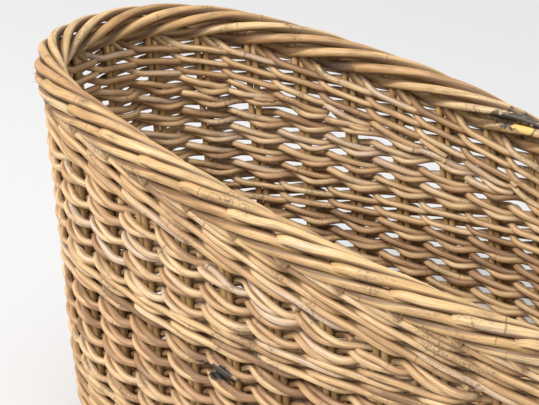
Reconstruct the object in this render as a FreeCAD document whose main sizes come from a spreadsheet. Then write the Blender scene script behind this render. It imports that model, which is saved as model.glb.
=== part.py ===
import FreeCAD, Part
import math
import os

import Sketcher

from FreeCAD import Placement, Rotation, Vector

# A scoop-shaped wicker basket, in millimetres.
# +Z is up, +X points to the low front, and the XZ plane is the plane of symmetry.
# The origin is on the ground, under the middle of the whole basket.
# Stakes stand in pairs on an oval foot hoop and lean towards the high back. Rows of doubled
# weavers run outside and inside them, and a border of seven rods closes the sloping rim.

doc = FreeCAD.newDocument("scoop_basket")

SIZES = [
    ("outline_length", 652, "length of the wall's mid-line, the same at every height"),
    ("outline_width", 360, "width of the wall's mid-line"),
    ("end_radius", 147, "radius of the two end arcs of the oval"),
    ("rake_angle", 6.7, "degrees that the stakes lean towards the back"),
    ("back_height", 337, "height of the border's core at the back"),
    ("front_height", 195, "height of the border's core at the front"),
    ("rim_power", 1.28, "how late the rim drops: 1 is a straight slope"),
    ("fit_gap", 0.2, "clearance between rods that lie side by side"),
    ("hoop_width", 16, "width of the flat hoop that the basket rests on"),
    ("hoop_height", 9, "height of that hoop"),
    ("hoop_round", 2.5, "rounding of the hoop's upper edges"),
    ("stick_dia", 7, "cross sticks of the base"),
    ("stick_pitch", 31, "spacing of the cross sticks"),
    ("floor_dia", 5.4, "rods woven over and under the cross sticks"),
    ("floor_pitch", 7.2, "spacing of those rods"),
    ("stake_pairs", 34, "pairs of stakes round the wall"),
    ("stake_dia", 6.4, "one stake rod"),
    ("weaver_dia", 5.4, "one weaver rod of the wall"),
    ("row_pitch", 17.6, "height from one row of weavers to the next"),
    ("lower_rows", 5, "rows between the foot wale and the middle wale"),
    ("upper_rows", 6, "rows above the middle wale"),
    ("wale_dia", 5.9, "one rod of a wale, the close bands of weave"),
    ("wale_pitch", 12.2, "height from one row of a wale to the next"),
    ("foot_wale_rows", 4, "rows of the wale at the foot"),
    ("middle_wale_rows", 2, "rows of the wale half way up"),
    ("top_wale_rows", 3, "rows of the wale under the border"),
    ("border_dia", 11.5, "one rod of the border"),
]

sheet = doc.addObject("Spreadsheet::Sheet", "Sizes")
for line, (alias, number, meaning) in enumerate(SIZES, start=1):
    sheet.set("A%d" % line, alias)
    sheet.set("B%d" % line, str(number))
    sheet.set("C%d" % line, meaning)
    sheet.setAlias("B%d" % line, alias)
doc.recompute()


def size(alias):
    """The number in the sheet under this name."""
    return float(sheet.get(alias))


GAP = size("fit_gap")
RAKE = math.radians(size("rake_angle"))
HALF_LENGTH = size("outline_length") / 2
HALF_WIDTH = size("outline_width") / 2
END_RADIUS = size("end_radius")

# The oval is two end arcs and two side arcs, tangent where they meet.
END_CENTRE = HALF_LENGTH - END_RADIUS
SIDE_RADIUS = (END_CENTRE ** 2 + HALF_WIDTH ** 2 - END_RADIUS ** 2) / (2 * (HALF_WIDTH - END_RADIUS))
SIDE_CENTRE = HALF_WIDTH - SIDE_RADIUS
END_ANGLE = math.atan2(-SIDE_CENTRE, END_CENTRE)
END_LENGTH = END_RADIUS * END_ANGLE
SIDE_LENGTH = SIDE_RADIUS * (math.pi / 2 - END_ANGLE)
QUARTER = END_LENGTH + SIDE_LENGTH
ROUND = 4 * QUARTER

# A rod that goes round is laid in curved lengths, end to end.
END_PIECES = 4
SIDE_PIECES = 3


def outline(along):
    """Point and outward normal of the oval, this far round from the front, anticlockwise."""
    quarter, rest = divmod(along % ROUND, QUARTER)
    if quarter % 2:
        rest = QUARTER - rest
    if rest < END_LENGTH:
        angle = rest / END_RADIUS
        x = END_CENTRE + END_RADIUS * math.cos(angle)
        y = END_RADIUS * math.sin(angle)
    else:
        angle = END_ANGLE + (rest - END_LENGTH) / SIDE_RADIUS
        x = SIDE_RADIUS * math.cos(angle)
        y = SIDE_CENTRE + SIDE_RADIUS * math.sin(angle)
    towards_front = -1 if quarter in (1, 2) else 1
    towards_left = -1 if quarter in (2, 3) else 1
    normal = Vector(towards_front * math.cos(angle), towards_left * math.sin(angle), 0)
    return Vector(towards_front * x, towards_left * y, 0), normal


def rim_height(x):
    """Height of the border's core over a point x of the oval: a drop by a power of the way along."""
    way = min(max((x + HALF_LENGTH) / (2 * HALF_LENGTH), 0.0), 1.0)
    drop = size("back_height") - size("front_height")
    return size("back_height") - drop * way ** size("rim_power")


def rim_level(along, above=0.0):
    """Height over the rim's core line, measured square to the slope of the rim there."""
    step = 1.0
    middle = rim_height(outline(along)[0].x)
    slope = (rim_height(outline(along + step)[0].x) - rim_height(outline(along - step)[0].x)) / (2 * step)
    return middle + above * math.sqrt(1 + slope ** 2)


def wall_point(along, height, outward=0.0):
    """Point of the leaning wall: the oval slides towards the back as it rises."""
    spot, normal = outline(along)
    return spot + normal * outward + Vector(-math.tan(RAKE) * height, 0, height)


def along_at(x):
    """How far round from the front the left side of the oval passes this x."""
    if x > END_RADIUS * math.cos(END_ANGLE) + END_CENTRE:
        return END_RADIUS * math.acos(min((x - END_CENTRE) / END_RADIUS, 1.0))
    if x > -END_RADIUS * math.cos(END_ANGLE) - END_CENTRE:
        return END_LENGTH + SIDE_RADIUS * (math.acos(x / SIDE_RADIUS) - END_ANGLE)
    return 2 * QUARTER - END_RADIUS * math.acos(min((-x - END_CENTRE) / END_RADIUS, 1.0))


def lengths(start, end):
    """Stretches from start to end round the oval, cut where its arcs meet and into short pieces."""
    joints = [half * 2 * QUARTER + side * END_LENGTH for half in range(3) for side in (-1, 1)]
    marks = [start] + [joint for joint in joints if start + 1 < joint < end - 1] + [end]
    stretches = []
    for low, high in zip(marks, marks[1:]):
        middle = (low + high) / 2 % (2 * QUARTER)
        on_end = middle < END_LENGTH or middle > 2 * QUARTER - END_LENGTH
        longest = 2 * END_LENGTH / END_PIECES if on_end else 2 * SIDE_LENGTH / SIDE_PIECES
        count = math.ceil((high - low) / longest - 0.01)
        step = (high - low) / count
        stretches += [(low + step * i, low + step * (i + 1)) for i in range(count)]
    return stretches


FULL_ROUND = (-END_LENGTH, ROUND - END_LENGTH)


def stretch_below_rim(top):
    """The part of the round where a row whose top is this high lies clear under the top wale."""
    clear = size("back_height") - top - RIM_DEPTH
    drop = size("back_height") - size("front_height")
    if clear >= drop:
        return FULL_ROUND
    x = 2 * HALF_LENGTH * (clear / drop) ** (1 / size("rim_power")) - HALF_LENGTH
    return along_at(x), ROUND - along_at(x)


def bent_length(path, start, end, section):
    """One length of rod: a section turned about the centre of the arc through three points."""
    first, middle, last = path(start), path((start + end) / 2), path(end)
    arc = Part.Arc(first, middle, last).toShape()
    circle = arc.Curve
    tangent = arc.tangentAt(arc.FirstParameter)
    sweep = math.degrees(abs(arc.LastParameter - arc.FirstParameter))
    face = section(first, tangent)
    solid = face.revolve(circle.Center, circle.Axis, sweep)
    return solid


def round_section(diameter):
    """A disc across the rod."""
    def section(spot, tangent):
        return Part.Face(Part.Wire(Part.Circle(spot, tangent, diameter / 2).toShape()))
    return section


def doubled_section(diameter):
    """Two rods one on the other, as one upright slot shape."""
    def section(spot, tangent):
        across = tangent.cross(Vector(0, 0, 1)).normalize() * (diameter / 2)
        rise = across.cross(tangent).normalize() * (diameter / 2)
        low, high = spot - rise, spot + rise
        edges = [
            Part.LineSegment(low + across, high + across).toShape(),
            Part.Arc(high + across, high + rise, high - across).toShape(),
            Part.LineSegment(high - across, low - across).toShape(),
            Part.Arc(low - across, low - rise, low + across).toShape(),
        ]
        return Part.Face(Part.Wire(edges))
    return section


def add_rods(label, solids):
    """One sub-part made of separate rods."""
    node = doc.addObject("Part::Feature", label)
    node.Label = label
    node.Shape = Part.Compound(solids)
    node.Placement = Placement()
    return node


# The border is a core rod with six packed round it. Its lengths bend to slightly different
# arcs, so they need more clearance than rods that lie in one plane.
BORDER_GAPS = 3.5
BORDER_SPREAD = size("border_dia") + BORDER_GAPS * GAP
BORDER_RADIUS = BORDER_SPREAD + size("border_dia") / 2

# How deep the border and the top wale reach below the border's core, on the rim's steepest slope.
TOP_WALE_HEIGHT = size("top_wale_rows") * size("wale_pitch")
STEEPEST = (size("back_height") - size("front_height")) * size("rim_power") / size("outline_length")
RIM_DEPTH = (BORDER_RADIUS + TOP_WALE_HEIGHT + GAP) * math.sqrt(1 + STEEPEST ** 2)

# How far the rods of the weave stand off the stakes' centre line. Doubled rods have upright
# sides, so a stake that leans across them needs a little more room.
LEAN_ROOM = math.tan(RAKE) / 2
WEAVER_OFFSET = size("stake_dia") / 2 + size("weaver_dia") * (0.5 + LEAN_ROOM) + GAP
WALE_OFFSET = size("stake_dia") / 2 + size("wale_dia") * (0.5 + LEAN_ROOM) + GAP

# Levels of the wall, from the floor up.
STICK_LEVEL = size("hoop_height") + size("stick_dia") / 2 + GAP
FOOT_WALE_LOW = STICK_LEVEL + size("stick_dia") / 2 + GAP
LOWER_ROWS_LOW = FOOT_WALE_LOW + size("foot_wale_rows") * size("wale_pitch")

# The rows keep the pitch in the sheet, or a closer one if the wall is too low at the back for
# all of them. The highest has this much room to spare, so that it has some length.
HIGHEST_SPARE = 0.8
MIDDLE_WALE_HEIGHT = size("middle_wale_rows") * size("wale_pitch")
HIGHEST_ROW = size("back_height") - RIM_DEPTH - size("weaver_dia") - HIGHEST_SPARE
PITCHES = size("lower_rows") + size("upper_rows") - 0.5
ROW_PITCH = min(size("row_pitch"), (HIGHEST_ROW - LOWER_ROWS_LOW - MIDDLE_WALE_HEIGHT) / PITCHES)
MIDDLE_WALE_LOW = LOWER_ROWS_LOW + size("lower_rows") * ROW_PITCH
UPPER_ROWS_LOW = MIDDLE_WALE_LOW + MIDDLE_WALE_HEIGHT


def constrain(sketch, kind, *values):
    """Add one constraint and give its number."""
    return sketch.addConstraint(Sketcher.Constraint(kind, *values))


def draw_oval(sketch, outward, outward_text):
    """Four tangent arcs about the wall's own centres, moved outward, and bound to the sheet."""
    first = sketch.GeometryCount
    front, left, back, right = first, first + 1, first + 2, first + 3
    arcs = [
        (Vector(END_CENTRE, 0, 0), END_RADIUS, -END_ANGLE, END_ANGLE),
        (Vector(0, SIDE_CENTRE, 0), SIDE_RADIUS, END_ANGLE, math.pi - END_ANGLE),
        (Vector(-END_CENTRE, 0, 0), END_RADIUS, math.pi - END_ANGLE, math.pi + END_ANGLE),
        (Vector(0, -SIDE_CENTRE, 0), SIDE_RADIUS, math.pi + END_ANGLE, 2 * math.pi - END_ANGLE),
    ]
    for centre, radius, low, high in arcs:
        circle = Part.Circle(centre, Vector(0, 0, 1), radius + outward)
        sketch.addGeometry(Part.ArcOfCircle(circle, low, high), False)
    start, end, middle, axis = 1, 2, 3, -1
    for arc, following in ((front, left), (left, back), (back, right), (right, front)):
        constrain(sketch, "Tangent", arc, end, following, start)
    constrain(sketch, "Equal", front, back)
    constrain(sketch, "Equal", left, right)
    constrain(sketch, "Symmetric", front, middle, back, middle, axis, start)
    constrain(sketch, "PointOnObject", front, middle, axis)
    apart = constrain(sketch, "DistanceX", back, middle, front, middle, 2 * END_CENTRE)
    sketch.setExpression("Constraints[%d]" % apart, "Sizes.outline_length - 2 * Sizes.end_radius")
    radius = constrain(sketch, "Radius", front, END_RADIUS + outward)
    sketch.setExpression("Constraints[%d]" % radius, "Sizes.end_radius" + outward_text)
    radius = constrain(sketch, "Radius", left, SIDE_RADIUS + outward)
    half_length, half_width = "(Sizes.outline_length / 2 - Sizes.end_radius)", "(Sizes.outline_width / 2)"
    side_radius = "(%s ^ 2 + %s ^ 2 - Sizes.end_radius ^ 2) / (2 * (%s - Sizes.end_radius))" % (
        half_length, half_width, half_width)
    sketch.setExpression("Constraints[%d]" % radius, side_radius + outward_text)


def make_foot_hoop():
    """A flat hoop with rounded upper edges; its flat underside is what the basket stands on."""
    body = doc.addObject("PartDesign::Body", "foot_hoop")
    body.Label = "foot_hoop"
    sketch = body.newObject("Sketcher::SketchObject", "HoopOutline")
    plane = [part for part in body.Origin.OriginFeatures if part.Role == "XY_Plane"][0]
    sketch.AttachmentSupport = [(plane, "")]
    sketch.MapMode = "FlatFace"
    draw_oval(sketch, size("hoop_width") / 2, " + Sizes.hoop_width / 2")
    draw_oval(sketch, -size("hoop_width") / 2, " - Sizes.hoop_width / 2")
    pad = body.newObject("PartDesign::Pad", "HoopPad")
    pad.Profile = sketch
    pad.setExpression("Length", "Sizes.hoop_height")
    doc.recompute()
    top = size("hoop_height")
    upper = []
    for number, edge in enumerate(pad.Shape.Edges, start=1):
        if edge.BoundBox.ZMin > top / 2:
            upper.append("Edge%d" % number)
    fillet = body.newObject("PartDesign::Fillet", "HoopRound")
    fillet.Base = (pad, upper)
    fillet.setExpression("Radius", "Sizes.hoop_round")
    body.Tip = fillet
    return body


def add_cylinder(name, diameter_alias, length, length_text, foot, direction):
    """A straight rod from its foot, with its diameter bound to the sheet."""
    rod = doc.addObject("Part::Cylinder", name)
    rod.Label = name
    rod.setExpression("Radius", "Sizes.%s / 2" % diameter_alias)
    if length_text:
        rod.setExpression("Height", length_text)
    else:
        rod.Height = length
    rod.Placement = Placement(foot, Rotation(Vector(0, 0, 1), direction))
    return rod


def group(label, rods):
    """One sub-part made of straight rods."""
    node = doc.addObject("Part::Compound", label)
    node.Label = label
    node.Links = rods
    return node


def chord_half(across, inward):
    """Half the width, along X, of the oval drawn in by an amount, at this distance off its axis."""
    end_radius = END_RADIUS - inward
    side_radius = SIDE_RADIUS - inward
    if abs(across) <= end_radius * math.sin(END_ANGLE):
        return END_CENTRE + math.sqrt(end_radius ** 2 - across ** 2)
    return math.sqrt(side_radius ** 2 - (abs(across) - SIDE_CENTRE) ** 2)


def chord_half_across(x, inward):
    """Half the width, along Y, of the oval drawn in by an amount, at this distance along it."""
    end_radius = END_RADIUS - inward
    side_radius = SIDE_RADIUS - inward
    if abs(x) >= END_CENTRE + end_radius * math.cos(END_ANGLE):
        return math.sqrt(end_radius ** 2 - (abs(x) - END_CENTRE) ** 2)
    return SIDE_CENTRE + math.sqrt(side_radius ** 2 - x ** 2)


def make_base_sticks():
    """Stout sticks laid across the hoop from side to side."""
    inward = size("stake_dia") / 2 + GAP + size("stick_dia") / 4
    reach = HALF_LENGTH - inward - size("stick_pitch") / 3
    count = int(reach / size("stick_pitch"))
    sticks = []
    for number in range(-count, count + 1):
        x = number * size("stick_pitch")
        half = chord_half_across(abs(x) + size("stick_dia") / 2, inward)
        foot = Vector(x, -half, STICK_LEVEL)
        name = "base_stick_%02d" % (number + count + 1)
        sticks.append(add_cylinder(name, "stick_dia", 2 * half, "", foot, Vector(0, 1, 0)))
    return group("base_sticks", sticks)


def make_floor_rods(label, level, inward, odd, slid):
    """Every other rod of the woven floor, lying along the basket over or under the sticks. Those
    over them end inside the leaning wall, so they are slid back with it."""
    reach = HALF_WIDTH - inward - size("floor_dia")
    count = int(reach / size("floor_pitch"))
    rods = []
    for number in range(-count, count + 1):
        if number % 2 != odd:
            continue
        y = number * size("floor_pitch")
        half = chord_half(abs(y) + size("floor_dia") / 2, inward)
        foot = Vector(-half - slid, y, level)
        name = "%s_%02d" % (label, number + count + 1)
        rods.append(add_cylinder(name, "floor_dia", 2 * half, "", foot, Vector(1, 0, 0)))
    return group(label, rods)


def make_stakes(label, numbers):
    """Pairs of stakes that stand on the hoop, lean back, and end under the border."""
    lean = Vector(-math.sin(RAKE), 0, math.cos(RAKE))
    beside = (size("stake_dia") + GAP) / 2
    foot_level = size("hoop_height") + size("stake_dia") / 2 * math.sin(RAKE) + GAP
    steepest = math.sqrt(1 + STEEPEST ** 2)
    drop = "(Sizes.back_height - Sizes.front_height)"
    border = "1.5 * Sizes.border_dia + %.1f * Sizes.fit_gap" % (BORDER_GAPS + 1)
    below = "(%.6f * (%s + Sizes.stake_dia / 4))" % (steepest, border)
    stakes = []
    for number in numbers:
        middle = (number + 0.5) * ROUND / size("stake_pairs")
        for side, hand in ((-1, "a"), (1, "b")):
            spot = outline(middle + side * beside)[0]
            way = (spot.x + HALF_LENGTH) / (2 * HALF_LENGTH)
            foot = wall_point(middle + side * beside, foot_level)
            rim = "Sizes.back_height - %s * pow(%.6f; Sizes.rim_power)" % (drop, way)
            length_text = "(%s - %s - %.6f) / %.9f" % (rim, below, foot_level, math.cos(RAKE))
            name = "stake_%02d%s" % (number + 1, hand)
            stakes.append(add_cylinder(name, "stake_dia", 0, length_text, foot, lean))
    return group(label, stakes)


def rings(stretch, level_at, offset, outer_section, inner_section):
    """A ring of rods outside the stakes and one inside, along one stretch of the round."""
    solids = []
    for outward, section in ((offset, outer_section), (-offset, inner_section)):
        def path(along):
            return wall_point(along, level_at(along), outward)
        solids += [bent_length(path, low, high, section) for low, high in lengths(*stretch)]
    return solids


def make_row(label, level):
    """One row of doubled weavers, outside and inside the stakes, level all the way."""
    section = doubled_section(size("weaver_dia"))
    stretch = stretch_below_rim(level + size("weaver_dia"))
    return add_rods(label, rings(stretch, lambda along: level, WEAVER_OFFSET, section, section))


def make_wale(label, low, rows):
    """Level rows of three-rod wale: two strokes lie over each other outside, one inside."""
    solids = []
    outer_section, inner_section = doubled_section(size("wale_dia")), round_section(size("wale_dia"))
    for number in range(int(rows)):
        level = low + (number + 0.5) * size("wale_pitch")
        stretch = stretch_below_rim(level + size("wale_dia"))
        solids += rings(stretch, lambda along: level, WALE_OFFSET, outer_section, inner_section)
    return add_rods(label, solids)


def make_top_wale_row(number):
    """One row of the wale that follows the rim, right under the border."""
    below = BORDER_RADIUS + GAP + (number + 0.5) * size("wale_pitch")
    sections = doubled_section(size("wale_dia")), round_section(size("wale_dia"))
    solids = rings(FULL_ROUND, lambda along: rim_level(along, -below), WALE_OFFSET, *sections)
    return add_rods("top_wale_%d" % (number + 1), solids)


def make_border_rod(label, outward, upward):
    """One rod of the border, laid along the rim at its own place in the bundle."""
    def path(along):
        return wall_point(along, rim_level(along, upward), outward)
    section = round_section(size("border_dia"))
    return add_rods(label, [bent_length(path, low, high, section) for low, high in lengths(*FULL_ROUND)])


def make_border():
    """A core rod with six more packed round it."""
    make_border_rod("border_core", 0, 0)
    for number in range(6):
        angle = math.radians(60 * number)
        outward, upward = BORDER_SPREAD * math.sin(angle), BORDER_SPREAD * math.cos(angle)
        make_border_rod("border_rod_%d" % (number + 1), outward, upward)


def make_stake_groups():
    """The stakes by the side of the basket that they stand on."""
    pairs = int(size("stake_pairs"))
    quarter = pairs / 4
    groups = {"stakes_front": [], "stakes_left": [], "stakes_back": [], "stakes_right": []}
    names = list(groups)
    for number in range(pairs):
        groups[names[int((number + 0.5) / quarter + 0.5) % 4]].append(number)
    for label, numbers in groups.items():
        make_stakes(label, numbers)


def make_rows():
    """The rows of the wall, numbered from the floor up."""
    for number in range(int(size("lower_rows"))):
        level = LOWER_ROWS_LOW + (number + 0.5) * ROW_PITCH
        make_row("lower_row_%d" % (number + 1), level)
    for number in range(int(size("upper_rows"))):
        level = UPPER_ROWS_LOW + (number + 0.5) * ROW_PITCH
        make_row("upper_row_%d" % (number + 1), level)


make_foot_hoop()
make_base_sticks()
INSIDE_WALE = WALE_OFFSET + size("wale_dia") / 2 + GAP
UNDER_FLOOR = STICK_LEVEL - (size("stick_dia") + size("floor_dia")) / 2 - GAP
OVER_FLOOR = STICK_LEVEL + (size("stick_dia") + size("floor_dia")) / 2 + GAP
WALL_SLID = math.tan(RAKE) * (FOOT_WALE_LOW + size("wale_pitch") / 2)
make_floor_rods("floor_rods_under", UNDER_FLOOR, size("hoop_width") / 2 + GAP, 0, 0)
make_floor_rods("floor_rods_over", OVER_FLOOR, INSIDE_WALE, 1, WALL_SLID)
make_stake_groups()
make_wale("foot_wale", FOOT_WALE_LOW, size("foot_wale_rows"))
make_wale("middle_wale", MIDDLE_WALE_LOW, size("middle_wale_rows"))
make_rows()
for row in range(int(size("top_wale_rows"))):
    make_top_wale_row(row)
make_border()
doc.recompute()

used = {link.Name for thing in doc.Objects if thing.TypeId == "Part::Compound" for link in thing.Links}
kinds = ("PartDesign::Body", "Part::Compound", "Part::Feature")
nodes = [thing for thing in doc.Objects if thing.TypeId in kinds and thing.Name not in used]

# The basket reaches from the leaning border at the back to the hoop at the front. Every
# sub-part is moved so that the origin is half way between.
back_reach = HALF_LENGTH + math.tan(RAKE) * size("back_height") + BORDER_SPREAD * math.cos(math.pi / 6)
back_reach += size("border_dia") / 2
front_reach = HALF_LENGTH + size("hoop_width") / 2
middle = Vector((back_reach - front_reach) / 2, 0, 0)
for node in nodes:
    node.Placement = Placement(middle, Rotation())
doc.recompute()
print("moved forward by %.3f mm" % middle.x)

# Check every object, then write each sub-part to its own file.
for thing in doc.Objects:
    if "Invalid" in thing.State or "Error" in thing.State:
        raise RuntimeError("%s did not build: %s" % (thing.Label, thing.State))
for node in nodes:
    if node.Shape.isNull() or not node.Shape.isValid():
        raise RuntimeError("%s has no valid shape" % node.Label)
    for solid in node.Shape.Solids:
        if solid.Volume <= 0:
            raise RuntimeError("%s holds a solid that is inside out" % node.Label)

os.makedirs("parts", exist_ok=True)
for node in nodes:
    node.Shape.exportStep(os.path.join("parts", node.Label + ".step"))
    print("%-20s %3d solids %10.0f mm3" % (node.Label, len(node.Shape.Solids), node.Shape.Volume))
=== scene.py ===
import math

import bpy
import numpy as np
from mathutils import Matrix, Vector


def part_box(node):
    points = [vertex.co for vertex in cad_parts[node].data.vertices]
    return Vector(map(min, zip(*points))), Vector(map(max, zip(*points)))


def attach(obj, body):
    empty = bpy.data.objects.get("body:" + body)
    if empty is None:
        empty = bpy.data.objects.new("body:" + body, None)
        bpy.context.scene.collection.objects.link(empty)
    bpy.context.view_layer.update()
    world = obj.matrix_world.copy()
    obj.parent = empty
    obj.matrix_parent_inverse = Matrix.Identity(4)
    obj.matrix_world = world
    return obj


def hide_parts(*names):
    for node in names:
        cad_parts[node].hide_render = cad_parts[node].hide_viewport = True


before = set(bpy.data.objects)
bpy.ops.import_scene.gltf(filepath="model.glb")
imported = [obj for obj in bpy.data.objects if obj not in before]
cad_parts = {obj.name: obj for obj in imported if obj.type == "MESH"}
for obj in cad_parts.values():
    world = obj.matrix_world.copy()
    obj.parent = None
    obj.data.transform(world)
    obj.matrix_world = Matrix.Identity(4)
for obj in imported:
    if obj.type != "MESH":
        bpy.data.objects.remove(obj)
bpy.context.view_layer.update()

# ---------------------------------------------------------------------------------------------
# Foot hoop: one flat split of timber bent to the oval of the wall, its ends scarfed, with its
# upper edges rounded by wear. The stakes and the base stand on it, and it takes the rubbing.
# The line of the wall is one oval of four tangent arcs, the same at every height; it slides
# towards the back as it rises. Places on it are given in bays, the steps between stakes.
HOOP_WIDTH = 0.016
END_RADIUS = 0.147
RAKE = math.radians(6.7)
STAKE_PAIRS = 34

hoop_low, hoop_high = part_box("foot_hoop")
CENTRE_X = (hoop_low.x + hoop_high.x) / 2
HALF_LENGTH = (hoop_high.x - hoop_low.x - HOOP_WIDTH) / 2
HALF_WIDTH = (hoop_high.y - hoop_low.y - HOOP_WIDTH) / 2

END_CENTRE = HALF_LENGTH - END_RADIUS
SIDE_RADIUS = ((END_CENTRE ** 2 + HALF_WIDTH ** 2 - END_RADIUS ** 2)
               / (2 * (HALF_WIDTH - END_RADIUS)))
SIDE_CENTRE = HALF_WIDTH - SIDE_RADIUS
END_ANGLE = math.atan2(-SIDE_CENTRE, END_CENTRE)
END_ARC = END_RADIUS * END_ANGLE
QUARTER = END_ARC + SIDE_RADIUS * (math.pi / 2 - END_ANGLE)
ROUND = 4 * QUARTER
BAY = ROUND / STAKE_PAIRS


def oval(bays):
    """Oval point and outward normal, so many stake bays round from the front, anticlockwise.
    Each quarter is an end arc, then a side arc; the other quarters are its mirror images."""
    along = np.mod(np.asarray(bays, float) * BAY, ROUND)
    quarter = np.minimum(np.floor(along / QUARTER), 3)
    rest = along - quarter * QUARTER
    rest = np.where(quarter % 2 == 1, QUARTER - rest, rest)
    on_end = rest < END_ARC
    angle = np.where(on_end, rest / END_RADIUS, END_ANGLE + (rest - END_ARC) / SIDE_RADIUS)
    x = np.where(on_end, END_CENTRE + END_RADIUS * np.cos(angle), SIDE_RADIUS * np.cos(angle))
    y = np.where(on_end, END_RADIUS * np.sin(angle), SIDE_CENTRE + SIDE_RADIUS * np.sin(angle))
    front = np.where((quarter == 1) | (quarter == 2), -1.0, 1.0)
    left = np.where(quarter >= 2, -1.0, 1.0)
    return front * x, left * y, front * np.cos(angle), left * np.sin(angle)


def wall(bays, outward, height):
    """Points of the leaning wall: the oval point pushed out along its normal, then slid back
    by the height times the tangent of the rake."""
    x, y, normal_x, normal_y = oval(bays)
    height = np.broadcast_to(height, x.shape)
    return np.stack([
        CENTRE_X + x + normal_x * outward - math.tan(RAKE) * height,
        y + normal_y * outward,
        height,
    ], -1)


def outward_of(bays):
    """Unit vectors square to the wall, pointing out."""
    normal_x, normal_y = oval(bays)[2:]
    return np.stack([normal_x, normal_y, np.zeros_like(normal_x)], -1)


class Value:
    """A shader socket that takes part in Python sums, each one adding a Math node."""

    def __init__(self, tree, socket):
        self.tree = tree
        self.socket = socket

    def math(self, operation, *others, clamp=False):
        node = self.tree.nodes.new("ShaderNodeMath")
        node.operation = operation
        node.use_clamp = clamp
        for slot, other in zip(node.inputs, others):
            plug(self.tree, slot, other)
        return Value(self.tree, node.outputs[0])

    def __add__(self, other): return self.math("ADD", self, other)
    def __radd__(self, other): return self.math("ADD", other, self)
    def __sub__(self, other): return self.math("SUBTRACT", self, other)
    def __rsub__(self, other): return self.math("SUBTRACT", other, self)
    def __mul__(self, other): return self.math("MULTIPLY", self, other)
    def __rmul__(self, other): return self.math("MULTIPLY", other, self)
    def fraction(self): return self.math("FRACT", self)
    def size(self): return self.math("ABSOLUTE", self)

    def step(self, low, high):
        """0 below low, 1 above high, and smooth between."""
        node = self.tree.nodes.new("ShaderNodeMapRange")
        node.interpolation_type = "SMOOTHSTEP"
        node.inputs["From Min"].default_value = low
        node.inputs["From Max"].default_value = high
        plug(self.tree, node.inputs["Value"], self)
        return Value(self.tree, node.outputs[0])


def plug(tree, socket, value):
    """Link a value to a socket, or set a plain number or colour on it."""
    if isinstance(value, Value):
        tree.links.new(value.socket, socket)
    else:
        socket.default_value = value


class Shader:
    """A material's node tree; add() makes any node from its type, settings and inputs."""

    def __init__(self, name):
        self.material = bpy.data.materials.new(name)
        self.material.use_nodes = True
        self.tree = self.material.node_tree
        self.surface = self.tree.nodes["Principled BSDF"]

    def add(self, kind, settings=None, output=0, **inputs):
        node = self.tree.nodes.new(kind)
        for key, value in (settings or {}).items():
            setattr(node, key, value)
        for key, value in inputs.items():
            plug(self.tree, node.inputs[key.replace("_", " ")], value)
        return Value(self.tree, node.outputs[output])

    def noise(self, place, scale, detail=2.0, roughness=0.5):
        """Smooth noise between 0 and 1 about one half."""
        return self.add("ShaderNodeTexNoise", Vector=place, Scale=scale, Detail=detail,
                        Roughness=roughness)

    def ramp(self, value, stops):
        """Colours along a value, from (place, colour) stops."""
        node = self.tree.nodes.new("ShaderNodeValToRGB")
        elements = node.color_ramp.elements
        while len(elements) < len(stops):
            elements.new(0.5)
        for element, (place, colour) in zip(elements, stops):
            element.position = place
            element.color = (*colour, 1)
        plug(self.tree, node.inputs["Fac"], value)
        return Value(self.tree, node.outputs["Color"])

    def mix(self, amount, first, second):
        """One colour into another by an amount."""
        node = self.tree.nodes.new("ShaderNodeMix")
        node.data_type = "RGBA"
        plug(self.tree, node.inputs["Factor"], amount)
        for socket, colour in ((node.inputs[6], first), (node.inputs[7], second)):
            plug(self.tree, socket, colour if isinstance(colour, Value) else (*colour, 1))
        return Value(self.tree, node.outputs[2])

    def vector(self, x, y, z):
        return self.add("ShaderNodeCombineXYZ", X=x, Y=y, Z=z)

    def blot(self, place, spot, reach, ragged):
        """How far a place lies in a ragged spot of dirt: 1 in its middle, 0 outside its edge."""
        node = self.tree.nodes.new("ShaderNodeMapping")
        moved = [-middle / half for middle, half in zip(spot, reach)]
        node.inputs["Location"].default_value = moved
        node.inputs["Scale"].default_value = [1 / half for half in reach]
        plug(self.tree, node.inputs["Vector"], place)
        away = self.add("ShaderNodeVectorMath", {"operation": "LENGTH"}, output=1,
                        Vector=Value(self.tree, node.outputs[0]))
        return (1 - away + (ragged - 0.5) * 1.8).step(0.0, 0.3)


JOINT_SPACING = 0.145


def joint_phase(along, tint):
    """How far through one length between ring joints: 0.5 is on a joint. Works on arrays and on
    shader values alike, so the swelling in the mesh and the line in its colour meet."""
    spread = along * (1 / JOINT_SPACING) * (1.25 - 0.5 * tint) + 7.3 * tint
    return spread.fraction() if isinstance(spread, Value) else np.mod(spread, 1.0)


# Old spills, by stake bays, outward reach, height, half sizes, colour and strength: tar outside
# on the right, tar over yellow paint inside the left rim, a grey smudge on the left, a white fleck.
SPILLS = [
    (24.25, 0.008, 0.137, (0.026, 0.020, 0.0085), (0.012, 0.011, 0.012), 0.96),
    (7.75, -0.010, 0.279, (0.030, 0.020, 0.0110), (0.014, 0.012, 0.011), 0.92),
    (7.60, -0.012, 0.275, (0.012, 0.012, 0.0050), (0.62, 0.40, 0.11), 0.9),
    (11.70, -0.008, 0.297, (0.024, 0.018, 0.0120), (0.050, 0.040, 0.034), 0.65),
    (9.50, -0.002, 0.309, (0.0030, 0.0030, 0.0030), (0.86, 0.86, 0.84), 1.0),
]


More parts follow.
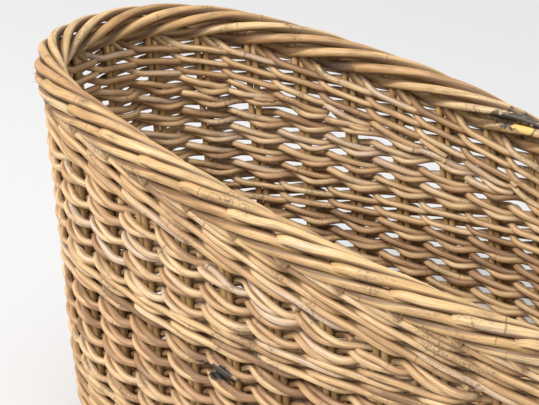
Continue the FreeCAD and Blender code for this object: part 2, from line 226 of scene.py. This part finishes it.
def cane_material(name, tones, grime=0.5, gloss=0.48, painted_crease_shade_amount=0.35):
    """Cane skin. Each rod takes its tone from a ramp by its own tint and drifts along its length;
    streaks run along it, and ring joints, weather marks and spills darken it. The sides where rods
    lie against their neighbours get painted shade, dark brown for the shade between touching rods.
    Cuts show pith."""
    shader = Shader(name)
    rod = shader.tree.nodes.new("ShaderNodeSeparateXYZ")
    plug(shader.tree, rod.inputs[0], shader.add("ShaderNodeUVMap", {"uv_map": "rod"}))
    along, around = Value(shader.tree, rod.outputs[0]), Value(shader.tree, rod.outputs[1])
    tint = shader.add("ShaderNodeAttribute", {"attribute_name": "tint"}, output=2)
    cut = shader.add("ShaderNodeAttribute", {"attribute_name": "cut"}, output=2)
    place = shader.add("ShaderNodeTexCoord", output=3)

    turn = around * (2 * math.pi)
    facing, sideways = turn.math("COSINE", turn), turn.math("SINE", turn)
    skin = shader.vector(along * 14 + tint * 37, facing * 0.35 + tint * 23, sideways * 0.35)
    fibre = shader.vector(along * 26 + tint * 31, facing * 4.5, sideways * 4.5 + tint * 17)

    drift = shader.noise(skin, 1.0, 3.0, 0.6)
    tone = tint * 0.8 + (drift - 0.5) * 1.5 + 0.10
    colour = shader.ramp(tone, tones)
    streak = shader.noise(fibre, 1.0, 3.0, 0.65)
    hollow = 0.56 - streak
    streaked = hollow.math("MULTIPLY", hollow, 3.0, clamp=True)
    colour = shader.mix(streaked, colour, (0.23, 0.12, 0.045))

    joint = 1 - ((joint_phase(along, tint) - 0.5).size() * JOINT_SPACING).step(0.0003, 0.0012)
    joint = joint * shader.noise(skin, 0.9, 0.0).step(0.42, 0.62)
    colour = shader.mix(joint * 0.55, colour, (0.11, 0.055, 0.025))

    # Painted shade: the sides of each rod that face its neighbours are mixed towards dark brown,
    # standing in for the shade that falls between touching rods.
    painted_crease_shade = sideways.size().step(0.70, 0.99) * painted_crease_shade_amount
    colour = shader.mix(painted_crease_shade, colour, (0.12, 0.06, 0.025))

    blotch = shader.noise(place, 21, 3.0, 0.62).step(0.50, 0.70)
    speckle = shader.noise(place, 420, 2.0, 0.6).step(0.48, 0.62)
    mottled = shader.noise(skin, 2.3, 4.0, 0.7).step(0.50, 0.68)
    dirt = (blotch * (0.25 + 0.75 * speckle) + mottled * 0.45) * grime
    dirt = dirt.math("MINIMUM", dirt, 0.85)
    colour = shader.mix(dirt, colour, (0.10, 0.062, 0.036))
    colour = shader.mix(cut, colour, (0.40, 0.25, 0.12))
    ragged = shader.noise(place, 130, 3.0, 0.6)
    for bays, outward, height, reach, stain, strength in SPILLS:
        spot = wall(np.array([bays]), outward, height)[0]
        colour = shader.mix(shader.blot(place, spot, reach, ragged) * strength, colour, stain)

    plug(shader.tree, shader.surface.inputs["Base Color"], colour)
    plug(shader.tree, shader.surface.inputs["Roughness"], gloss + dirt * 0.35 + streak * 0.12)
    relief = streak * 0.5 + joint * 0.6 + mottled * 0.25
    bump = shader.add("ShaderNodeBump", Height=relief, Strength=0.55, Distance=0.0004)
    plug(shader.tree, shader.surface.inputs["Normal"], bump)
    shader.surface.inputs["Specular IOR Level"].default_value = 0.38
    return shader.material


def finish_piece(piece, material, nodes):
    """Dress a piece, fix it to the basket, and let it stand for its CAD nodes."""
    piece.data.materials.append(material)
    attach(piece, "root")
    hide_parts(*nodes)


# The hoop's section, outward and up, in mm.
HOOP_PROFILE = [(-8.0, 0.4), (-7.6, 0.0), (7.6, 0.0), (8.0, 0.4), (8.0, 6.6), (7.4, 8.2),
                (5.8, 8.9), (-5.8, 8.9), (-7.4, 8.2), (-8.0, 6.6)]
HOOP_TONES = [(0.0, (0.25, 0.13, 0.05)), (0.5, (0.45, 0.27, 0.10)), (1.0, (0.54, 0.35, 0.14))]
hoop_material = cane_material("split_hoop_timber", HOOP_TONES, grime=0.6, gloss=0.6)
profile = np.array(HOOP_PROFILE)[::-1] / 1000
HOOP_STEPS = 8
hoop_bays = np.arange(0, STAKE_PAIRS, 1 / HOOP_STEPS)
x, y, normal_x, normal_y = oval(hoop_bays)
hoop_points = np.stack([
    CENTRE_X + x[:, None] + normal_x[:, None] * profile[None, :, 0],
    y[:, None] + normal_y[:, None] * profile[None, :, 0],
    np.broadcast_to(profile[:, 1], (len(x), len(profile))),
], -1)
edges = len(profile)
section, edge = np.meshgrid(np.arange(len(x)), np.arange(edges), indexing="ij")
next_section, next_edge = (section + 1) % len(x), (edge + 1) % edges
hoop_quads = np.stack([section * edges + edge, next_section * edges + edge,
                       next_section * edges + next_edge, section * edges + next_edge], -1)
hoop_mesh = bpy.data.meshes.new("foot_hoop_timber")
hoop_mesh.from_pydata(hoop_points.reshape(-1, 3).tolist(), [], hoop_quads.reshape(-1, 4).tolist())
hoop_along = np.stack([section, section + 1, section + 1, section], -1) * (BAY / HOOP_STEPS)
hoop_around = np.stack([edge, edge, edge + 1, edge + 1], -1) / edges
hoop_uv = np.stack([hoop_along, hoop_around], -1)
hoop_mesh.uv_layers.new(name="rod").data.foreach_set("uv", hoop_uv.reshape(-1).astype(np.float32))
tint = hoop_mesh.attributes.new("tint", "FLOAT", "POINT")
tint.data.foreach_set("value", np.full(len(hoop_mesh.vertices), 0.4, np.float32))
hoop = bpy.data.objects.new("foot_hoop_timber", hoop_mesh)
bpy.context.scene.collection.objects.link(hoop)
finish_piece(hoop, hoop_material, ["foot_hoop"])


# ---------------------------------------------------------------------------------------------
# Base: stout cross sticks through the foot of the wall, with finer rods woven over and under
# them from end to end and beaten close together. All of it is whole cane.
random = np.random.default_rng(11)
STICK_CANE = 0.007
STICK_PITCH = 0.031
STICK_LEVEL = 0.0127
FLOOR_CANE = 0.0054
FLOOR_PITCH = 0.0072
FLOOR_STEPS = 8
STICKS = 21
FLOOR_RODS = 43
STICK_INSET = 0.0105
FLOOR_INSET = 0.0112
FLOOR_END_INSET = 0.011
JOINT_SWELL = 0.07
JOINT_HALF_LENGTH = 0.0022
CUT_BEVEL = 0.22
CUT_SCALE = 0.80
STICK_TONES = [(0.0, (0.24, 0.13, 0.046)), (0.5, (0.45, 0.27, 0.092)), (1.0, (0.54, 0.36, 0.14))]
FLOOR_TONES = [(0.0, (0.19, 0.093, 0.046)), (0.4, (0.45, 0.26, 0.12)), (0.8, (0.62, 0.40, 0.19)),
               (1.0, (0.52, 0.37, 0.25))]


def swept_rods(name, centres, radii, outward, tints, sides):
    """Many rods as one piece. Each ring is its centre plus radius times (cosine times the facing
    direction, sine times the sideways one); facing is outward made square to the rod, and
    sideways is square to both. Rods swell a little at their joints, and both ends get a bevelled
    cut. The arrays are rods by rings, and tints gives one number for each rod."""
    rods, rings = radii.shape
    run = np.gradient(centres, axis=1)
    run /= np.linalg.norm(run, axis=-1, keepdims=True)
    lateral = np.cross(run, outward)
    lateral /= np.linalg.norm(lateral, axis=-1, keepdims=True)
    facing = np.cross(lateral, run)
    steps = np.linalg.norm(np.diff(centres, axis=1), axis=-1)
    along = np.concatenate([np.zeros((rods, 1)), np.cumsum(steps, axis=1)], axis=1)
    tints = np.broadcast_to(np.reshape(tints, (-1, 1)), radii.shape)
    from_joint = (joint_phase(along, tints) - 0.5) * JOINT_SPACING
    radii = radii * (1 + JOINT_SWELL * np.exp(-(from_joint / JOINT_HALF_LENGTH) ** 2))

    first = centres[:, :1] - run[:, :1] * CUT_BEVEL * radii[:, :1, None]
    last = centres[:, -1:] + run[:, -1:] * CUT_BEVEL * radii[:, -1:, None]
    repeat = np.r_[0, 0:rings, rings - 1]
    centres = np.concatenate([first, centres, last], axis=1)
    along = along[:, repeat]
    scale = np.ones(rings + 2)
    scale[[0, -1]] = CUT_SCALE
    radii = radii[:, repeat] * scale
    lateral, facing = lateral[:, repeat], facing[:, repeat]
    rings += 2

    turn = np.arange(sides) * (2 * math.pi / sides)
    reach = radii[..., None, None]
    points = (centres[:, :, None] + reach * np.cos(turn)[:, None] * facing[:, :, None]
              + reach * np.sin(turn)[:, None] * lateral[:, :, None])
    points = np.concatenate([points.reshape(rods, -1, 3), centres[:, :1], centres[:, -1:]], axis=1)
    each = points.shape[1]

    ring, side = np.meshgrid(np.arange(rings - 1) * sides, np.arange(sides), indexing="ij")
    after = (side + 1) % sides
    quads = np.stack([ring + side, ring + after, ring + sides + after, ring + sides + side], -1)
    side, after = side[0], after[0]
    first_cap = np.stack([np.full(sides, each - 2), after, side], -1)
    last_ring = each - 2 - sides
    last_cap = np.stack([np.full(sides, each - 1), last_ring + side, last_ring + after], -1)
    start = np.arange(rods)[:, None, None] * each
    quads = (quads.reshape(-1, 4) + start).reshape(-1, 4)
    caps = (np.concatenate([first_cap, last_cap]) + start).reshape(-1, 3)
    corners = np.concatenate([quads.reshape(-1), caps.reshape(-1)])
    totals = np.concatenate([np.full(len(quads), 4), np.full(len(caps), 3)])

    mesh = bpy.data.meshes.new(name)
    mesh.vertices.add(rods * each)
    mesh.vertices.foreach_set("co", points.reshape(-1).astype(np.float32))
    mesh.loops.add(len(corners))
    mesh.loops.foreach_set("vertex_index", corners.astype(np.int32))
    mesh.polygons.add(len(totals))
    mesh.polygons.foreach_set("loop_start", (np.cumsum(totals) - totals).astype(np.int32))
    mesh.polygons.foreach_set("use_smooth", np.ones(len(totals), bool))
    mesh.update(calc_edges=True)

    ring_along = np.repeat(along, sides, axis=1)
    ring_along = np.concatenate([ring_along, along[:, :1], along[:, -1:]], axis=1)
    quad_around = np.tile((side[:, None] + np.array([0, 1, 1, 0])).reshape(-1), rods * (rings - 1))
    around = np.concatenate([quad_around / sides, np.zeros(caps.size)])
    uv = np.stack([ring_along.reshape(-1)[corners], around], -1)
    mesh.uv_layers.new(name="rod").data.foreach_set("uv", uv.reshape(-1).astype(np.float32))

    is_cut = np.zeros(each)
    is_cut[:sides] = 1
    is_cut[-sides - 2:] = 1
    for label, values in (("tint", np.repeat(tints[:, 0], each)), ("cut", np.tile(is_cut, rods))):
        layer = mesh.attributes.new(label, "FLOAT", "POINT")
        layer.data.foreach_set("value", values.astype(np.float32))
    piece = bpy.data.objects.new(name, mesh)
    bpy.context.scene.collection.objects.link(piece)
    return piece


def sway(random, shape, length, amount):
    """Gentle unevenness along each row of an array: random numbers at knots, joined by cosines."""
    knots = random.normal(0, amount, (*shape[:-1], int(shape[-1] / length) + 3))
    at = np.arange(shape[-1]) / length
    low = np.floor(at).astype(int)
    blend = 0.5 - 0.5 * np.cos(math.pi * (at - low))
    return knots[..., low] * (1 - blend) + knots[..., low + 1] * blend


stick_x = (np.arange(STICKS) - STICKS // 2) * STICK_PITCH
across = np.linspace(-1, 1, 24)


def half_width_at(x, inward):
    """Half of the oval's width across, so far inward from its wall, at a place along it."""
    past_centre = np.maximum(np.abs(x) - END_CENTRE, 0)
    end = np.sqrt(np.maximum((END_RADIUS - inward) ** 2 - past_centre ** 2, 0))
    side = SIDE_CENTRE + np.sqrt((SIDE_RADIUS - inward) ** 2 - x ** 2)
    return np.where(np.abs(x) > END_CENTRE, end, side)


stick_reach = half_width_at(stick_x, STICK_INSET)
stick_lean = math.tan(RAKE) * STICK_LEVEL
grid = (STICKS, len(across))
stick_centres = np.stack([
    np.broadcast_to((CENTRE_X - stick_lean + stick_x)[:, None], grid),
    stick_reach[:, None] * across,
    STICK_LEVEL + sway(random, grid, 6, 0.0003),
], -1)
upright = np.array([0.0, 0.0, 1.0])
stick_radii = STICK_CANE / 2 * (1 + sway(random, grid, 6, 0.04))
stick_material = cane_material("stout_stick_cane", STICK_TONES)
sticks = swept_rods("base_cross_sticks", stick_centres, stick_radii,
                    np.broadcast_to(upright, stick_centres.shape), random.random(STICKS), 10)
finish_piece(sticks, stick_material, ["base_sticks"])

floor_material = cane_material("floor_weaver_cane", FLOOR_TONES)
floor_y = (np.arange(FLOOR_RODS) - FLOOR_RODS // 2) * FLOOR_PITCH
reaches = np.linspace(0, HALF_LENGTH - FLOOR_END_INSET, 600)
widths = half_width_at(reaches, FLOOR_INSET)
floor_reach = np.array([reaches[widths >= abs(y)].max() for y in floor_y])
rings = int(2 * HALF_LENGTH / STICK_PITCH * FLOOR_STEPS)
floor_x = floor_reach[:, None] * np.linspace(-1, 1, rings)
is_odd = np.arange(FLOOR_RODS) % 2
over = np.where(is_odd == 0, 1, -1)[:, None]
weave = over * np.tanh(1.6 * np.cos(math.pi * floor_x / STICK_PITCH)) / math.tanh(1.6)
floor_centres = np.stack([
    CENTRE_X - stick_lean + floor_x,
    floor_y[:, None] + sway(random, floor_x.shape, 10, 0.0002),
    STICK_LEVEL + weave * (STICK_CANE + FLOOR_CANE) / 2,
], -1)
floor_radii = FLOOR_CANE / 2 * (1 + sway(random, floor_x.shape, 14, 0.04))
floor_facing = np.broadcast_to(upright, floor_centres.shape)
for odd, side in ((1, "under"), (0, "over")):
    chosen = is_odd == odd
    piece = swept_rods("base_weavers_%s_first" % side, floor_centres[chosen], floor_radii[chosen],
                       floor_facing[chosen], random.random(chosen.sum()), 8)
    finish_piece(piece, floor_material, ["floor_rods_" + side])


# ---------------------------------------------------------------------------------------------
# Stakes: the uprights of the wall, straight peeled cane in touching pairs. They stand in the
# foot hoop, lean towards the back, and turn down into the border at the top.
random = np.random.default_rng(12)
STAKE_CANE = 0.0064
STAKE_RINGS = 26
STAKE_GAP = 0.0003
STAKE_LIFT = 0.0006
STAKE_SHORT = 0.014
STAKE_TONES = [(0.0, (0.236, 0.127, 0.0468)), (0.45, (0.43, 0.259, 0.0936)),
               (0.8, (0.538, 0.349, 0.136)), (1.0, (0.43, 0.296, 0.171))]
RIM_POWER = 1.28
BORDER_CANE = 0.0115
core_low, core_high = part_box("border_core")
BACK_HEIGHT = core_high.z - BORDER_CANE / 2
FRONT_HEIGHT = core_low.z + BORDER_CANE / 2


def rim_height(bays, above=0.0):
    """Height of the border's core: back height less the drop times a power of the way to the
    front, raised by an amount measured square to the slope."""
    def core(at):
        way = np.clip((oval(at)[0] + HALF_LENGTH) / (2 * HALF_LENGTH), 0, 1)
        return BACK_HEIGHT - (BACK_HEIGHT - FRONT_HEIGHT) * way ** RIM_POWER
    bays = np.asarray(bays, float)
    step = 0.02
    slope = (core(bays + step) - core(bays - step)) / (2 * step * BAY)
    return core(bays) + above * np.sqrt(1 + slope ** 2)


pair = np.arange(2 * STAKE_PAIRS) // 2
hand = np.arange(2 * STAKE_PAIRS) % 2 - 0.5
stake_at = pair + 0.5 + hand * (STAKE_CANE + STAKE_GAP) / BAY
stake_bays = np.repeat(stake_at[:, None], STAKE_RINGS, axis=1)
stake_bays += sway(random, stake_bays.shape, 6, 0.0005) / BAY
stake_foot = hoop_high.z + STAKE_LIFT
stake_top = rim_height(stake_bays) - STAKE_SHORT
stake_height = stake_foot + (stake_top - stake_foot) * np.linspace(0, 1, STAKE_RINGS)
stake_centres = wall(stake_bays, sway(random, stake_bays.shape, 8, 0.0003), stake_height)
stake_radii = STAKE_CANE / 2 * (1 + sway(random, stake_bays.shape, 5, 0.03))
stake_material = cane_material("peeled_stake_cane", STAKE_TONES, grime=0.35, gloss=0.5)
stake_side = np.floor((pair + 0.5) / STAKE_PAIRS * 4 + 0.5).astype(int) % 4
for side, node in enumerate(("stakes_front", "stakes_left", "stakes_back", "stakes_right")):
    chosen = stake_side == side
    piece = swept_rods(node + "_rods", stake_centres[chosen], stake_radii[chosen],
                       outward_of(stake_bays[chosen]), random.random(chosen.sum()), 10)
    finish_piece(piece, stake_material, [node])


# ---------------------------------------------------------------------------------------------
# Wall rows: two groups of two weavers, twisted about each other between the stakes (pairing).
# A group lies outside one pair of stakes and inside the next; it comes out high, drops over the
# stakes and goes in low. Rows bend along under the rim and end there, tucked inside.
random = np.random.default_rng(21)
WEAVER_CANE = 0.0064
WEAVER_STEPS = 13
WEAVER_RINGS = STAKE_PAIRS * WEAVER_STEPS + 1
SEAT_GAP = 0.0002
ROW_TWIST = 0.0042
ROW_ROLL = 1.15
ROW_SQUEEZE = 0.006
ROW_LIFT = 0.0040
ROW_LIFTED = 0.0135
ROW_LIFT_SPREAD = 0.0038
ROW_PRESSED = 0.0056
ROW_PRESS_SPREAD = 0.004
WEAVER_TONES = [(0.0, (0.19, 0.10, 0.05)), (0.22, (0.39, 0.225, 0.112)),
                (0.5, (0.55, 0.355, 0.178)), (0.75, (0.60, 0.42, 0.235)),
                (0.9, (0.50, 0.36, 0.25)), (1.0, (0.59, 0.475, 0.375))]
# The last setting is the strength of the painted shade on the rod sides where rods touch.
weaver_material = cane_material("whole_weaver_cane", WEAVER_TONES, grime=0.65, painted_crease_shade_amount=0.45)

BORDER_DEPTH = 0.0175
WALE_PITCH = 0.0122
TOP_WALE_ROWS = 3


def ceiling(bays):
    """The level that rows have to stay under: the lower edge of the wale that follows the rim."""
    return rim_height(bays, -(BORDER_DEPTH + TOP_WALE_ROWS * WALE_PITCH))


def twisted_path(phase):
    """Outward and upward parts of one group of weavers, each between -1 and 1. Outward is a
    flattened cosine of the phase; upward crests just before the group comes out, and is a long
    flat hollow where it goes in."""
    outward = np.tanh(1.9 * np.cos(phase)) / math.tanh(1.9)
    upward = 2 * ((1 - np.sin(phase + 0.12)) / 2) ** 2.7 - 1
    return outward, upward


def tucked_ends(level, outward_at):
    """The first and last places, clear under the rim, where a weaver is on its way in or out."""
    bays = np.linspace(0.5, STAKE_PAIRS + 0.5, 24 * STAKE_PAIRS + 1)
    fits = (ceiling(bays) > level - ROW_SQUEEZE) & (outward_at(bays) < 0.1)
    return bays[fits][0], bays[fits][-1]


def row_of_weavers(name, level, node):
    """One row, as far as it lies clear under the rim, of two groups of two weavers. Its level
    lifts a little where the rim first leaves room above it, and bends down under the rim."""
    lowest_ceiling = ceiling(np.array([0.5]))[0]
    reach = (STAKE_CANE + WEAVER_CANE) / 2 + SEAT_GAP
    rods = []
    for group in range(2):
        if lowest_ceiling > level:
            low, high = 1.5 - group, STAKE_PAIRS + 1.5 - group
        else:
            low, high = tucked_ends(level, lambda at: twisted_path(math.pi * (at - 0.5 - group))[0])
        bays = np.linspace(low, high, WEAVER_RINGS)[None]
        phase = math.pi * (bays - 0.5 - group)
        outward, upward = twisted_path(phase)
        roll = ROW_ROLL * np.sin(phase)
        below = ceiling(bays) - level
        settled = level + ROW_LIFT * np.exp(-((below - ROW_LIFTED) / ROW_LIFT_SPREAD) ** 2)
        pressed = (ROW_PRESSED - below) / ROW_PRESS_SPREAD
        settled = settled - np.logaddexp(0, pressed) * ROW_PRESS_SPREAD
        settled = settled + sway(random, bays.shape, 2.2 * WEAVER_STEPS, 0.0006)
        for hand in (-0.5, 0.5):
            out = reach * outward + hand * WEAVER_CANE * np.sin(roll)
            rise = ROW_TWIST * upward + hand * WEAVER_CANE * np.cos(roll)
            out = out + sway(random, bays.shape, WEAVER_STEPS, 0.0003)
            rise = rise + sway(random, bays.shape, WEAVER_STEPS, 0.0005)
            swell = 1 + random.normal(0, 0.07) + sway(random, bays.shape, 18, 0.04)
            centres = wall(bays, out, settled + rise)
            rods.append((centres, WEAVER_CANE / 2 * swell, outward_of(bays)))
    centres, radii, outward = (np.concatenate(part) for part in zip(*rods))
    piece = swept_rods(name, centres, radii, outward, random.random(len(rods)), 10)
    finish_piece(piece, weaver_material, [node])


for node in sorted(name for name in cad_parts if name.startswith(("lower_row", "upper_row"))):
    low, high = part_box(node)
    row_of_weavers(node + "_weavers", (low.z + high.z) / 2, node)


# ---------------------------------------------------------------------------------------------
# Wales: close bands of three single weavers that pass outside two pairs of stakes and inside
# one, so that outside each stroke lies over the next. One is at the foot, one half way up,
# and one follows the rim right under the border.
random = np.random.default_rng(22)
WALE_CANE = 0.0063
WALE_RISE = 0.0056
# A wale weaver's height by how far through a turn it is, as a share of the rise.
WALE_COURSE = [(0.0, -0.5), (0.13, -0.35), (0.25, 1.0), (0.5, 0.3), (0.78, -0.8), (0.9, -0.65)]
WALE_TONES = [(0.0, (0.18, 0.095, 0.046)), (0.3, (0.40, 0.235, 0.112)), (0.6, (0.55, 0.355, 0.172)),
              (0.85, (0.60, 0.42, 0.23)), (1.0, (0.50, 0.365, 0.26))]
# The last setting is the strength of the painted shade on the rod sides where rods touch.
wale_material = cane_material("whole_wale_cane", WALE_TONES, grime=0.75, painted_crease_shade_amount=0.5)


def wale_path(turns):
    """Outward and upward parts of a wale weaver, by how many of its three-bay turns it has gone.
    It is inside at a whole turn; outside it starts high, lying over the stroke before it, and
    slants down evenly; inside it comes up again."""
    part = np.mod(turns, 1.0)
    outward = np.tanh(4.2 * (0.28 - np.cos(2 * math.pi * part)) / 1.28)
    outward = outward + 0.25 * np.exp(-((part - 0.36) / 0.12) ** 2)
    knots = np.array(WALE_COURSE)
    upward = sum(np.interp(part + shift, knots[:, 0], knots[:, 1], period=1)
                 for shift in (-0.03, 0, 0.03)) / 3
    return outward, upward


def row_of_wale(level_of, lag, whole):
    """The three weavers of one row of wale, set so many stakes later than in the first row. In
    a whole ring each ends on the inside, past its own start; otherwise it ends under the rim."""
    reach = (STAKE_CANE + WALE_CANE) / 2 + SEAT_GAP
    rods = []
    for weaver in range(3):
        turn = (weaver + lag) % 3
        low, high = turn + 0.5, STAKE_PAIRS + (turn - STAKE_PAIRS) % 3 + 0.5
        if not whole:
            low, high = tucked_ends(level_of(0) + ROW_SQUEEZE,
                                    lambda at: wale_path((at - 0.5 - turn) / 3)[0])
        bays = np.linspace(low, high, WEAVER_RINGS)[None]
        outward, upward = wale_path((bays - 0.5 - turn) / 3)
        out = outward * reach + sway(random, bays.shape, WEAVER_STEPS, 0.0003)
        rise = upward * WALE_RISE + sway(random, bays.shape, WEAVER_STEPS, 0.0004)
        swell = 1 + random.normal(0, 0.06) + sway(random, bays.shape, 18, 0.04)
        centres = wall(bays, out, level_of(bays) + rise)
        rods.append((centres, WALE_CANE / 2 * swell, outward_of(bays)))
    return rods


def make_wale(name, rods, node):
    """One piece of all the weavers of a wale."""
    centres, radii, outward = (np.concatenate(part) for part in zip(*rods))
    piece = swept_rods(name, centres, radii, outward, random.random(len(rods)), 10)
    finish_piece(piece, wale_material, [node])


for node, rows in (("foot_wale", 4), ("middle_wale", 2)):
    first_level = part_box(node)[0].z + WALE_CANE
    woven = []
    for row in range(rows):
        woven += row_of_wale(lambda bays: first_level + row * WALE_PITCH, row, node == "foot_wale")
    make_wale(node + "_weavers", woven, node)

for row in range(TOP_WALE_ROWS):
    below = BORDER_DEPTH + (row + 0.5) * WALE_PITCH
    woven = row_of_wale(lambda bays: rim_height(bays, -below), row, True)
    node = "top_wale_%d" % (row + 1)
    make_wale(node + "_weavers", woven, node)


# ---------------------------------------------------------------------------------------------
# Border: one stout cane from each pair of stakes. It comes up inside, turns out over its
# neighbours as a rounded shoulder, climbs to the top, goes down the inner side, comes out
# through the wall, runs along the lower edge under the next shoulders, and is cut off there.
random = np.random.default_rng(23)
BORDER_SIDES = 14
BORDER_STEPS = 16
BORDER_RADIUS = 0.0046
BORDER_SAG = 0.0035
BORDER_SMOOTHING = 11
# How far a rod has gone in bays, and where it then lies outward of and above the core, in mm.
BORDER_COURSE = [
    (-0.30, 0.0, -26.0), (0.05, 1.4, -9.0), (0.28, 6.9, 1.5), (0.52, 10.9, 6.5),
    (0.90, 11.6, 9.0), (1.30, 8.7, 12.0), (1.80, 3.7, 13.2), (2.35, -2.8, 12.2),
    (2.85, -8.2, 9.0), (3.30, -9.6, 4.0), (3.75, -8.2, -2.5), (4.15, -1.5, -10.0),
    (4.60, 6.9, -13.2), (5.20, 11.0, -8.0), (5.85, 11.8, -1.5), (6.25, 9.9, 1.5),
    (6.60, 6.0, 0.5), (6.95, 4.1, -4.0), (7.20, 5.5, -10.0), (7.45, 10.1, -16.5),
]
BORDER_TONES = [(0.0, (0.30, 0.15, 0.062)), (0.3, (0.465, 0.285, 0.122)),
                (0.6, (0.56, 0.375, 0.175)), (0.85, (0.60, 0.42, 0.215)),
                (1.0, (0.46, 0.335, 0.215))]
# The last setting is the strength of the painted shade on the rod sides where rods touch.
border_material = cane_material("stout_border_cane", BORDER_TONES, grime=0.85, gloss=0.42,
                                painted_crease_shade_amount=0.9)

course = np.array(BORDER_COURSE)
rings = int((course[-1, 0] - course[0, 0]) * BORDER_STEPS) + 1
travel = np.linspace(course[0, 0], course[-1, 0], rings)
smooth = np.hanning(BORDER_SMOOTHING) / np.hanning(BORDER_SMOOTHING).sum()
padded = np.pad(travel, BORDER_SMOOTHING // 2, "reflect", reflect_type="odd")
out = np.convolve(np.interp(padded, course[:, 0], course[:, 1]), smooth, "valid") / 1000
rise = np.convolve(np.interp(padded, course[:, 0], course[:, 2]), smooth, "valid") / 1000
starts = np.arange(STAKE_PAIRS) + 0.5
border_bays = starts[:, None] + travel[None]
out = out[None] + sway(random, border_bays.shape, 14, 0.0004)
rise = rise[None] + sway(random, border_bays.shape, 14, 0.0004)
border_centres = wall(border_bays, out, rim_height(border_bays) - BORDER_SAG + rise)
border_swell = random.normal(0, 0.05, (STAKE_PAIRS, 1)) + sway(random, border_bays.shape, 20, 0.03)
border_radii = BORDER_RADIUS * (1 + border_swell)
from_core = outward_of(border_bays) * out[..., None] + upright * rise[..., None]
border = swept_rods("rolled_border", border_centres, border_radii, from_core,
                    random.random(STAKE_PAIRS), BORDER_SIDES)
finish_piece(border, border_material,
             ["border_core"] + ["border_rod_%d" % number for number in range(1, 7)])


# ---------------------------------------------------------------------------------------------
# Loose fibres: a few hairs of split cane that have sprung from the old border and wall.
random = np.random.default_rng(24)
FIBRES = 34
FIBRE_RINGS = 9
FIBRE_RADIUS = 0.00022
FIBRE_TONES = [(0.0, (0.20, 0.11, 0.05)), (1.0, (0.45, 0.30, 0.16))]
fibre_material = cane_material("split_cane_fibre", FIBRE_TONES, grime=0.2, gloss=0.6)
length = np.linspace(0, 1, FIBRE_RINGS)
roots = random.uniform(0, STAKE_PAIRS, FIBRES)[:, None]
fibre_bays = roots + random.normal(0, 0.12, (FIBRES, 1)) * length
fibre_rise = random.uniform(-0.024, 0.008, (FIBRES, 1))
sprung = random.uniform(0.004, 0.013, (FIBRES, 1)) * length ** 1.4
fibre_out = np.where(fibre_rise > -0.004, 0.010, 0.012) + sprung
fibre_bend = random.normal(0, 0.004, (FIBRES, 1)) * length ** 2
fibre_height = rim_height(fibre_bays) + fibre_rise + fibre_bend
fibres = swept_rods("loose_fibres", wall(fibre_bays, fibre_out, fibre_height),
                    FIBRE_RADIUS * (1 - 0.65 * length) * np.ones((FIBRES, 1)),
                    np.broadcast_to(upright, (FIBRES, FIBRE_RINGS, 3)), random.random(FIBRES), 5)
finish_piece(fibres, fibre_material, [])


# ---------------------------------------------------------------------------------------------
# Setting: a plain pale floor, soft light from above and the left, and a long lens looking down
# on the back end of the basket.
table_mesh = bpy.data.meshes.new("pale_floor")
table_mesh.from_pydata([(-20, -20, 0), (20, -20, 0), (20, 20, 0), (-20, 20, 0)], [], [(0, 1, 2, 3)])
table = bpy.data.objects.new("pale_floor", table_mesh)
bpy.context.scene.collection.objects.link(table)
table_shader = Shader("pale_floor")
table_shader.surface.inputs["Base Color"].default_value = (0.505, 0.50, 0.50, 1)
table_shader.surface.inputs["Roughness"].default_value = 0.9
table_mesh.materials.append(table_shader.material)

world = bpy.data.worlds.new("soft_room")
bpy.context.scene.world = world
world.use_nodes = True
world.node_tree.nodes["Background"].inputs["Color"].default_value = (1.0, 1.0, 1.0, 1)
world.node_tree.nodes["Background"].inputs["Strength"].default_value = 1.02

WINDOW_PLACE = Vector((-0.8, -2.8, 3.6))
WINDOW_TARGET = Vector((0, 0, 0.2))
light = bpy.data.lights.new("window", "AREA")
light.shape = "DISK"
light.size = 2.2
light.energy = 262
window = bpy.data.objects.new("window", light)
window.location = WINDOW_PLACE
window.rotation_euler = (WINDOW_TARGET - WINDOW_PLACE).to_track_quat("-Z", "Y").to_euler()
bpy.context.scene.collection.objects.link(window)

LENS_TARGET = Vector((-0.1177, -0.0197, 0.2235))
LENS_DISTANCE = 1.9097
LENS_HEADING = math.radians(34.547)
LENS_DOWN = math.radians(21.333)
LENS_ROLL = math.radians(1.011)
heading = Vector((-math.sin(LENS_HEADING), math.cos(LENS_HEADING), 0))
ahead = heading * math.cos(LENS_DOWN) - Vector((0, 0, math.sin(LENS_DOWN)))
right = Vector((math.cos(LENS_HEADING), math.sin(LENS_HEADING), 0))
above = right.cross(ahead)
turned_right = right * math.cos(LENS_ROLL) + above * math.sin(LENS_ROLL)
turned_above = above * math.cos(LENS_ROLL) - right * math.sin(LENS_ROLL)
lens = bpy.data.cameras.new("camera")
lens.sensor_width = 36
lens.lens = 141.9
lens.clip_end = 100
camera = bpy.data.objects.new("camera", lens)
bpy.context.scene.collection.objects.link(camera)
turn = Matrix((turned_right, turned_above, -ahead)).transposed()
camera.matrix_world = Matrix.Translation(LENS_TARGET - ahead * LENS_DISTANCE) @ turn.to_4x4()
bpy.context.scene.camera = camera
bpy.context.scene.view_settings.view_transform = "Standard"
